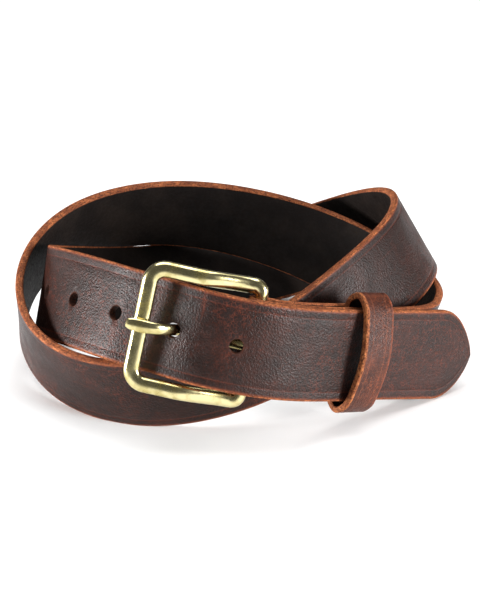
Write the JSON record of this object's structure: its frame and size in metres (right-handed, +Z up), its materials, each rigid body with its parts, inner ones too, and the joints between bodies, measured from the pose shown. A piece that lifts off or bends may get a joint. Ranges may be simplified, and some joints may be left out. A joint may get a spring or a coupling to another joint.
{
  "type": "leather belt",
  "caption": "Brown full-grain leather dress belt with a solid brass heel-bar buckle and a leather keeper, coiled and buckled to itself.",
  "frame": {"origin": "on the ground, under the middle of the coil", "axes": "+Z up, -Y towards the buckle, +X towards the strap's tip"},
  "size_m": [0.1928, 0.1756, 0.0789],
  "materials": {
    "strap_leather": "dark brown waxed pull-up leather with a soft sheen; raw orange-brown edges and a near-black flesh side",
    "keeper_leather": "the same leather, redder where it is bent; raw orange-brown edges",
    "polished_brass": "polished solid brass",
    "screw_brass": "plain turned brass"
  },
  "bodies": {
    "strap": {"strap": "strap_leather", "near_screw_post": "screw_brass", "near_screw": "screw_brass", "far_screw_post": "screw_brass", "far_screw": "screw_brass"},
    "buckle_frame": {"buckle_frame": "polished_brass"},
    "prong": {"prong": "polished_brass"},
    "keeper": {"keeper_loop": "keeper_leather"}
  },
  "joints": [
    {"name": "frame_swing", "type": "hinge", "parent": "strap", "child": "buckle_frame", "pos_m": [0.00319, -0.07404, 0.04435], "axis": [0.2125, 0.2334, 0.9489], "range_deg": [-1.5, 0.5]},
    {"name": "prong_lift", "type": "hinge", "parent": "buckle_frame", "child": "prong", "pos_m": [0.00319, -0.07404, 0.04435], "axis": [0.2125, 0.2334, 0.9489], "range_deg": [0, 0.8]},
    {"name": "keeper_slide", "type": "slide", "parent": "strap", "child": "keeper", "axis": [0.7417, 0.6103, -0.2782], "range_m": [-0.003, 0.0015]}
  ]
}
